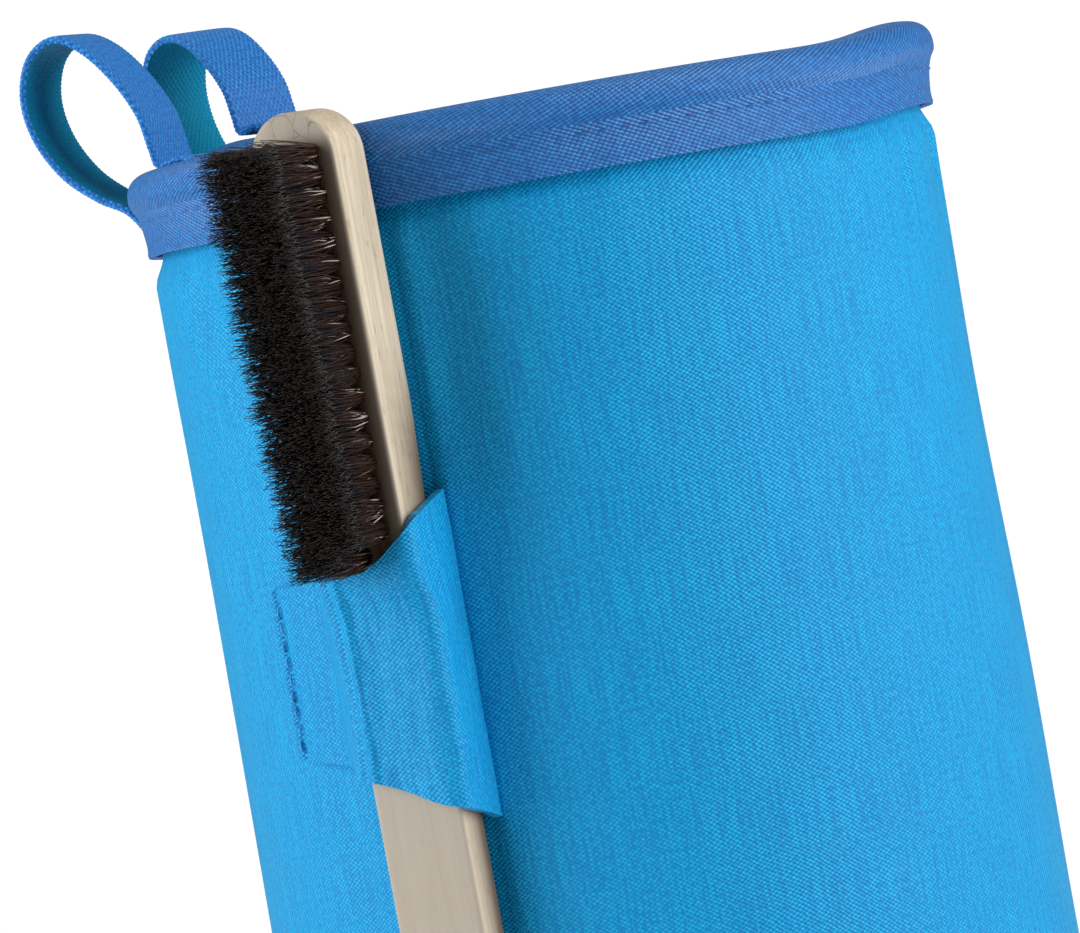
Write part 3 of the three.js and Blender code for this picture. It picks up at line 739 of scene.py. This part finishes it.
def loop_piece(number, angle, lift):
    """A belt loop: a rounded strip of webbing drawn along its path, its ribs standing out a little."""
    line = loop_line(lift)
    step = (line[1] - line[0]).length
    rim = rim_height(angle)
    side = around(angle + 90, 1, 0)
    # The strip's outline, as shares across and off its middle
    face = [(lerp(-0.94, 0.94, i / 14), 1) for i in range(15)]
    section = [*face, (1, 0), *[(-x, -1) for x, _ in face], (-1, 0)]
    rings = []
    for i, point in enumerate(line):
        ahead = line[min(i + 1, len(line) - 1)] - line[max(i - 1, 0)]
        off = Vector((ahead.y, -ahead.x)).normalized()
        rib = math.cos(math.tau * i * step / WEBBING_RIB)
        half = LOOP_WIDTH / 2 + RIB_ASIDE * rib
        thick = WEBBING / 2 + RIB_OUT * rib
        ring = []
        for x, sign in section:
            at = point + off * (sign * thick * (1 - 0.25 * x**6))
            ring.append(around(angle, at.x, rim + at.y) + side * (x * half))
        rings.append(ring)
    bm = lofted(rings)
    weave = bm.loops.layers.uv.new("weave")
    spots = {
        place.to_tuple(4): (x * LOOP_WIDTH / 2, i * step)
        for i, ring in enumerate(rings) for place, (x, _) in zip(ring, section)
    }
    # The inner face takes the webbing painted in shade
    under = {place.to_tuple(4) for ring in rings for place in ring[:len(face)]}
    for side_face in bm.faces:
        places = [vert.co.to_tuple(4) for vert in side_face.verts]
        side_face.material_index = int(under.issuperset(places))
        for loop, place in zip(side_face.loops, places):
            loop[weave].uv = spots.get(place, (0, 0))
    looks = [webbing, webbing_in_painted_shade]
    return finish_piece(bm, f"belt_loop_webbing_{number}", "bag", looks, f"belt_loop_{number}")


def holder_stations(z):
    """The middle of the holder's cloth at a height, from the flange to the side seam: x along the bag's
    surface, y out from its axis, and how much the top lifts and the lower edge falls there."""
    e = {name: Vector(edge) for name, edge in HOLDER_EDGES.items()}
    lying_radius = BODY_RADIUS + SEWN_GAP + HOLDER_CLOTH / 2

    def lying(step, edge, radius=lying_radius):
        return around(180 - step, radius, 0).xy, edge

    shoulder = BAG_HEIGHT - SHOULDER_ALONG + BRUSH_RISE
    spread = eased(z, shoulder - HOLDER_EASING, shoulder - SLIDE_GAP)
    face = brush_stand(z) + lerp(HANDLE_THICKNESS, HEAD_THICKNESS, spread)
    cover = SLIDE_GAP + HOLDER_CLOTH / 2
    half = BRUSH_WIDTH / 2

    def corner(side, turn, edge, slack=0):
        a = math.radians(turn)
        x = half - EDGE_ROUND + (EDGE_ROUND + cover + slack) * math.cos(a)
        return Vector((side * x, face - EDGE_ROUND + (EDGE_ROUND + cover + slack) * math.sin(a))), edge

    flange = [
        lying(lerp(FLANGE_STEP, CREASE_STEP, share), e["flange"].lerp(e["crease"], share))
        for share in (0, 0.33, 0.67, 1)
    ]
    return [
        *flange,
        corner(-1, 20, e["front_left"]), corner(-1, 70, e["front_left"]),
        (Vector((0, face + cover)), e["front"]),
        (Vector((half - 2 * EDGE_ROUND, face + cover)), e["front_right"]),
        corner(1, 62, e["front_right"].lerp(e["corner_right"], 0.5), 0.5),
        corner(1, 35, e["front_right"].lerp(e["corner_right"], 0.8), 1),
        corner(1, 5, e["corner_right"], 0.6),
        lying(SEAM_STEP, e["seam"], lying_radius - 1.1),
    ]


def holder_piece():
    """The brush's holder: a flat grid of cloth laid over the brush, from the flange sewn to the bag to
    the side seam, with its stitched crease and the pull of its seams."""
    bm = bmesh.new()
    across = bm.verts.layers.float.new("across")
    bmesh.ops.create_grid(bm, x_segments=220, y_segments=60, size=1)
    middle = holder_stations(BAG_HEIGHT - HOLDER_DROP - HOLDER_HEIGHT / 2)
    reach = [0]
    for (a, _), (b, _) in zip(middle, middle[1:]):
        reach.append(reach[-1] + (b - a).length)

    def rounded(values, s):
        """The mean of the straight-line values a little to each side, which rounds the corners."""
        total = values[0] * 0
        wide = 0.8 + 1.2 * eased(s, reach[6], reach[7]) * (1 - eased(s, reach[-2], reach[-1]))
        for step in (-1, -0.5, 0, 0.5, 1):
            near = min(max(s + step * wide, 0), reach[-1])
            i = next(k for k in range(len(reach) - 1) if near <= reach[k + 1])
            total += values[i].lerp(values[i + 1], (near - reach[i]) / (reach[i + 1] - reach[i])) / 5
        return total

    for vert in bm.verts:
        s = (vert.co.x + 1) / 2 * reach[-1]
        edge = rounded([e for _, e in middle], s)
        top = BAG_HEIGHT - HOLDER_DROP + edge.x * HOLDER_SEAM_LIFT
        bottom = BAG_HEIGHT - HOLDER_DROP - HOLDER_HEIGHT - edge.y * HOLDER_SEAM_FALL
        z = lerp(bottom, top, (vert.co.y + 1) / 2)
        stations = [p for p, _ in holder_stations(z)]
        slope = (rounded(stations, s + 0.4) - rounded(stations, s - 0.4)).normalized()
        # A sewn pleat where the cloth turns over the brush, a folded edge on the flange, and soft
        # unevenness
        crease, tuck = s - reach[3], s - reach[5] - 0.7
        pleat = PLEAT_RISE * math.exp(-(((tuck - 1) / 0.8) ** 2))
        pleat -= PLEAT_FALL * math.exp(-((tuck / 0.7) ** 2))
        hem = HEM_RISE * math.exp(-(((s - 0.9) / 0.8) ** 2))
        hem -= HEM_FALL * math.exp(-(((s - 2.1) / 0.4) ** 2))
        soft = 0.5 * noise.noise(Vector((s * 0.16, z * 0.1, 2.3)))
        soft += 0.2 * noise.noise(Vector((s * 0.5, z * 0.3, 7)))
        loose = eased(crease, 1, 8) * (1 - eased(s, reach[-1] - 6, reach[-1] - 1))
        off = HOLDER_CLOTH / 2 + pleat + hem + soft * (0.25 + 0.75 * loose)
        at = rounded(stations, s) + Vector((-slope.y, slope.x)) * off
        vert.co = around(BRUSH_ANGLE, at.y, z) + around(BRUSH_ANGLE + 90, at.x, 0)
        vert[across] = s
    face_away(bm, lambda p: around(BRUSH_ANGLE, 40, p.z))
    walled(bm, HOLDER_CLOTH)
    weave = bm.loops.layers.uv.new("weave")
    for face in bm.faces:
        for loop in face.loops:
            loop[weave].uv = (loop.vert[across], loop.vert.co.z)
    return finish_piece(bm, "brush_holder_cloth", "bag", [holder_cloth], "brush_holder")


def brush_frame():
    """From the brush's own axes, x across, y out and z along with zero at its top, to the bag's."""
    top = BAG_HEIGHT + BRUSH_RISE
    facing = Matrix.Rotation(math.radians(BRUSH_ANGLE + 180), 4, "Z")
    leaning = Matrix.Rotation(-math.atan(LEAN), 4, "X")
    return Matrix.Translation(around(BRUSH_ANGLE, brush_stand(top), top)) @ (facing @ leaning)


def back_round(along):
    """How far the brush's back is rounded at a share of its length."""
    for (a, low), (b, high) in zip(BACK_ROUNDS, BACK_ROUNDS[1:]):
        if along <= b:
            return lerp(low, high, (along - a) / (b - a))
    return 1


def handle_piece():
    """The brush's wood: one outline with round ends, drawn from end to end and eased at its edges."""
    end = BRUSH_WIDTH / 2
    turns = [3 + 87 * i / 11 for i in range(12)]
    top = [(end * (1 - math.cos(math.radians(t))), end * math.sin(math.radians(t))) for t in turns]
    bottom = [(BRUSH_LENGTH - along, half) for along, half in reversed(top)]
    straight = [(lerp(end + 2, BRUSH_LENGTH - end - 2, i / 48), end) for i in range(49)]
    shoulder = [(SHOULDER_ALONG + d, end) for d in (-SHOULDER_SLOPE, -0.6, -0.3, 0)]
    stations = top + sorted([s for s in straight if abs(s[0] - SHOULDER_ALONG) > 1.5] + shoulder) + bottom
    rings = []
    for along, half in stations:
        fall = eased(along, SHOULDER_ALONG - SHOULDER_SLOPE, SHOULDER_ALONG)
        thick = lerp(HEAD_THICKNESS, HANDLE_THICKNESS, fall)
        back = min(lerp(EDGE_ROUND, HANDLE_BACK_ROUND, back_round(along / BRUSH_LENGTH)), half * 0.9)
        front = min(EDGE_ROUND, half * 0.9)
        right = []
        for i in range(5):
            a = math.radians(90 - 22.5 * i)
            right.append((half - front + front * math.cos(a), thick - front + front * math.sin(a)))
        for i in range(7):
            a = math.radians(-15 * i)
            right.append((half - back + back * math.cos(a), back + back * math.sin(a)))
        across = [(lerp(-1, 1, i / 8) * (half - front), thick) for i in range(1, 8)]
        outline = across + right + [(-x, y) for x, y in reversed(right)]
        rings.append([Vector((x, y, -along)) for x, y in outline])
    bm = lofted(rings)
    worn, painted_shade, rough = (bm.verts.layers.float.new(name) for name in ("worn", "painted_shade", "rough"))
    field = BRISTLE_TOP + TUFT_ROOT / 2, BRISTLE_TOP + TUFT_ROOT + TUFT_PITCH * (TUFTS_PER_ROW - 1)
    for vert in bm.verts:
        x, y, along = abs(vert.co.x), vert.co.y, -vert.co.z
        thick = HEAD_THICKNESS if along < SHOULDER_ALONG - 0.5 else HANDLE_THICKNESS
        on_face = eased(y, thick - EDGE_ROUND, thick - 0.05)
        # Painted shade: the face beside the bristles' field, lighter towards its sides, and the rounded
        # back below the head, which faces the bag
        beside = on_face * eased(along, field[0] - 3, field[0]) * (1 - eased(along, field[1], field[1] + 3))
        behind = (1 - eased(y, 2.2, 4.2)) * eased(along, 30, 50)
        vert[worn] = 0.85 * on_face
        vert[rough] = 0.5 * on_face * (1 - eased(along, field[0] - 1, field[0] + 1))
        vert[painted_shade] = max(beside * (1 - 0.35 * eased(x, 4.5, end)), 0.9 * behind)
    bmesh.ops.transform(bm, matrix=brush_frame(), verts=bm.verts)
    return finish_piece(bm, "brush_wood", "brush", [beech], "brush_handle", crisp=50)


def add_tuft(mesh, rng, across, along, length):
    """Adds one tuft of bristle hairs to a mesh. Each hair is a tapered three-sided spine that stands in
    its hole, leans out with its neighbours and ends at its own height."""
    bm = bmesh.new()
    share = bm.verts.layers.float.new("along")
    tone = bm.verts.layers.float.new("tone")
    bmesh.ops.create_circle(bm, cap_ends=True, segments=3, radius=1)
    edges = bm.edges[:]
    for level in (0.35, 0.78, 1):
        made = bmesh.ops.extrude_edge_only(bm, edges=edges)["geom"]
        fresh = of_kind(BMVert, made)
        edges = [e for e in of_kind(BMEdge, made) if set(fresh).issuperset(e.verts)]
        for v in fresh:
            v.co.z = level
    bmesh.ops.contextual_create(bm, geom=edges)
    bmesh.ops.recalc_face_normals(bm, faces=bm.faces)
    pattern = bm.verts[:] + bm.edges[:] + bm.faces[:]
    for n in range(HAIRS_PER_TUFT):
        # The last hair is made from the pattern itself
        last = n == HAIRS_PER_TUFT - 1
        verts = of_kind(BMVert, pattern if last else bmesh.ops.duplicate(bm, geom=pattern)["geom"])
        turn, out = rng.uniform(0, math.tau), math.sqrt(rng.random())
        root = Vector((math.cos(turn) * out, math.sin(turn) * out))
        tall = length * rng.uniform(0.98, 1.08)
        stray = rng.gauss(0, 0.42), rng.gauss(0, 0.42)
        bend = rng.gauss(0, 0.45), rng.gauss(0, 0.4)
        curl = rng.gauss(0, 0.4), rng.gauss(0, 0.4)
        shade, thick = rng.random(), rng.uniform(*HAIR_RADIUS)
        tip = Vector((
            across * (TUFT_FAN - 1) + root.x * (TUFT_TIP_ACROSS - TUFT_ROOT) / 2 + stray[0],
            root.y * (TUFT_TIP_ALONG - TUFT_ROOT) / 2 + stray[1],
        ))
        for v in verts:
            t = v.co.z
            lean, bow, hook = t**1.3, math.sin(math.pi * t), max(t - 0.7, 0) / 0.3
            x = across + root.x * TUFT_ROOT / 2 + tip.x * lean + bend[0] * bow + curl[0] * hook
            y = HEAD_THICKNESS - HAIR_SINK + t * (tall + HAIR_SINK + SEWN_GAP)
            z = root.y * TUFT_ROOT / 2 + tip.y * lean + bend[1] * bow + curl[1] * hook
            width = thick * (1 - 0.45 * t)
            v.co = (x + v.co.x * width, y, -along + z + v.co.y * width)
            v[share], v[tone] = t, shade
    if mesh.vertices:
        bm.from_mesh(mesh)
    bm.to_mesh(mesh)
    bm.free()


def bristle_piece():
    """The bristles: rows of tufts, worn shorter towards the holder."""
    rng = random.Random(11)
    mesh = bpy.data.meshes.new("tufts")
    for row in range(TUFT_ROWS):
        for i in range(TUFTS_PER_ROW - (row == 0)):
            uneven = 1 - 0.03 * (1 + math.sin(2.4 * i + 1.7 * row))
            length = (BRISTLE_LENGTH - BRISTLE_WEAR * i / (TUFTS_PER_ROW - 1)) * uneven
            across = (row - (TUFT_ROWS - 1) / 2) * TUFT_ROW_PITCH
            along = BRISTLE_TOP + TUFT_ROOT / 2 + i * TUFT_PITCH
            add_tuft(mesh, rng, across, along, length)
    bm = bmesh.new()
    bm.from_mesh(mesh)
    bpy.data.meshes.remove(mesh)
    bmesh.ops.transform(bm, matrix=brush_frame(), verts=bm.verts)
    bmesh.ops.recalc_face_normals(bm, faces=bm.faces)
    looks = [bristle]
    return finish_piece(bm, "brush_bristle_hairs", "brush", looks, "brush_bristles", crisp=180)


def stitches(places, length, radius):
    """A row of stitches, each an arched bit of thread whose ends sink into the cloth. A place is where a
    stitch lies, the way it runs and the way it stands off."""
    bm = bmesh.new()
    one = lofted([
        [Vector((x * length / 2, radius * r * math.cos(a), radius * (1 - 2.2 * x * x + r * math.sin(a))))
         for a in (math.tau * k / 6 for k in range(6))]
        for x, r in ((-1, 0.5), (-0.75, 0.9), (-0.3, 1), (0.3, 1), (0.75, 0.9), (1, 0.5))
    ])
    mesh = bpy.data.meshes.new("stitch")
    one.to_mesh(mesh)
    one.free()
    for at, run, stand in places:
        run = run.normalized()
        aside = stand.cross(run).normalized()
        turn = Matrix((run, aside, run.cross(aside))).transposed().to_4x4()
        first = len(bm.verts)
        bm.from_mesh(mesh)
        bm.verts.ensure_lookup_table()
        bmesh.ops.transform(bm, matrix=Matrix.Translation(at) @ turn, verts=bm.verts[first:])
    bpy.data.meshes.remove(mesh)
    return bm


def holder_stitches():
    """The line of thread that holds the holder's flange, a little crooked."""
    places = []
    length, radius, pitch = HOLDER_STITCH
    for i in range(9):
        z = BAG_HEIGHT - HOLDER_DROP - 3.2 - pitch * i
        step = FLANGE_STEP + 2.1 + 0.25 * math.sin(2.1 * i)
        angle = BRUSH_ANGLE + step
        lean = around(angle + 90, 0.3 * math.sin(3.7 * i + 1), 0)
        seat = around(angle, BODY_RADIUS + SEWN_GAP + HOLDER_CLOTH + 0.15, z)
        places.append((seat, Vector((0, 0, 1)) + lean, around(angle, 1, 0)))
    bm = stitches(places, length, radius)
    return finish_piece(bm, "holder_stitching", "bag", [pale_thread], crisp=80)


def band_stitches():
    """Two rows of thread that hold the tape, one outside and one inside the mouth."""
    places = []
    length, radius, pitch = RIM_STITCH
    outside = NECK_MIDDLE + TAPE_REACH + BAND_FLARE + 0.05
    for stand_off, row in ((1, outside), (-1, NECK_MIDDLE - TAPE_REACH)):
        count = round(math.tau * row / pitch)
        for angle in (360 * i / count for i in range(count)):
            seat = around(angle, row, rim_height(angle) - BAND_STITCH_DROP + 0.1)
            places.append((seat, around(angle + 90, 1, 0), around(angle, stand_off, 0)))
    bm = stitches(places, length, radius)
    return finish_piece(bm, "rim_stitching", "bag", [thread], crisp=80)


# Scene

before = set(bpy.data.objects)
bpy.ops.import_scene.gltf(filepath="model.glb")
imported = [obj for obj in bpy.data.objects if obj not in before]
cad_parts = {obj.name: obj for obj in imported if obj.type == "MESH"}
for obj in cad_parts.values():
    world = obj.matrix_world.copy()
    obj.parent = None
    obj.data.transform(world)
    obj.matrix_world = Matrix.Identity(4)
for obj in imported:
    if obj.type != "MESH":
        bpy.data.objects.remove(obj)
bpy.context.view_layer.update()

body_piece()
base_piece()
band_piece()
for n, (loop_angle, loop_lift) in enumerate(zip(LOOP_ANGLES, LOOP_LIFTS)):
    loop_piece(n + 1, loop_angle, loop_lift)
holder_piece()
handle_piece()
bristle_piece()
band_stitches()
holder_stitches()


# Camera: level, towards the bag's brush side from in front, and rolled as the photograph is
CAMERA_ANGLE = -54
CAMERA_DISTANCE = 1400
FRAME_WIDTH = 149.5
CAMERA_ROLL = 10.15
AIM_ASIDE = -7.1
AIM_HEIGHT = 120.5

# The white room, as it lights the bag and as the camera sees it, and the floor's radius in metres
ROOM_LIGHT = 0.17
ROOM_SEEN = 1.05
FLOOR_RADIUS = 0.6

toward = around(CAMERA_ANGLE, 1, 0)
picture_right = around(CAMERA_ANGLE + 90, 1, 0)
aim = picture_right * AIM_ASIDE + Vector((0, 0, AIM_HEIGHT))
roll = math.radians(CAMERA_ROLL)
up = Vector((0, 0, 1)) * math.cos(roll) + picture_right * math.sin(roll)
right = picture_right * math.cos(roll) - Vector((0, 0, 1)) * math.sin(roll)
camera_data = bpy.data.cameras.new("camera")
camera_data.sensor_width = 36
camera_data.lens = camera_data.sensor_width * CAMERA_DISTANCE / FRAME_WIDTH
camera = placed("camera", camera_data)
turn = Matrix((right, up, toward)).transposed()
camera.matrix_world = Matrix.Translation((aim + toward * CAMERA_DISTANCE) * MM) @ turn.to_4x4()
bpy.context.scene.camera = camera


def lamp(name, angle, distance, height, size, watts):
    """A soft box that stands at an angle round the bag and faces it. Its lengths are in metres."""
    data = bpy.data.lights.new(name, "AREA")
    data.shape = "RECTANGLE"
    data.size, data.size_y = size
    data.energy = watts
    box = placed(name, data)
    box.location = around(angle, distance, height)
    box.rotation_euler = (Vector((0, 0, 0.1)) - box.location).to_track_quat("-Z", "Y").to_euler()


lamp("soft box left", CAMERA_ANGLE - 74, 1.1, 0.35, (1, 1.2), 18)
lamp("soft box right", CAMERA_ANGLE + 70, 1.1, 0.35, (1, 1.2), 18)
lamp("soft box above", CAMERA_ANGLE, 0.1, 1.3, (1.2, 1.2), 3)

world = bpy.data.worlds.new("white studio")
world.use_nodes = True
bpy.context.scene.world = world
backdrop = world.node_tree.nodes["Background"]
backdrop.inputs["Color"].default_value = (1, 1, 1, 1)
seen = add(world.node_tree, "LightPath").outputs["Is Camera Ray"]
strength = add(
    world.node_tree, "MapRange", {"Value": seen, "To Min": ROOM_LIGHT, "To Max": ROOM_SEEN}
).outputs[0]
world.node_tree.links.new(strength, backdrop.inputs["Strength"])

floor_bm = bmesh.new()
bmesh.ops.create_circle(floor_bm, cap_ends=True, segments=96, radius=FLOOR_RADIUS)
floor_mesh = bpy.data.meshes.new("floor")
floor_bm.to_mesh(floor_mesh)
floor_bm.free()
floor = placed("floor", floor_mesh)
paper, paper_tree, paper_shader = new_material("white paper sweep", Roughness=0.9)
paper_shader.inputs["Base Color"].default_value = linear("#f4f4f4")
floor_mesh.materials.append(paper)

bpy.context.scene.view_settings.view_transform = "Standard"
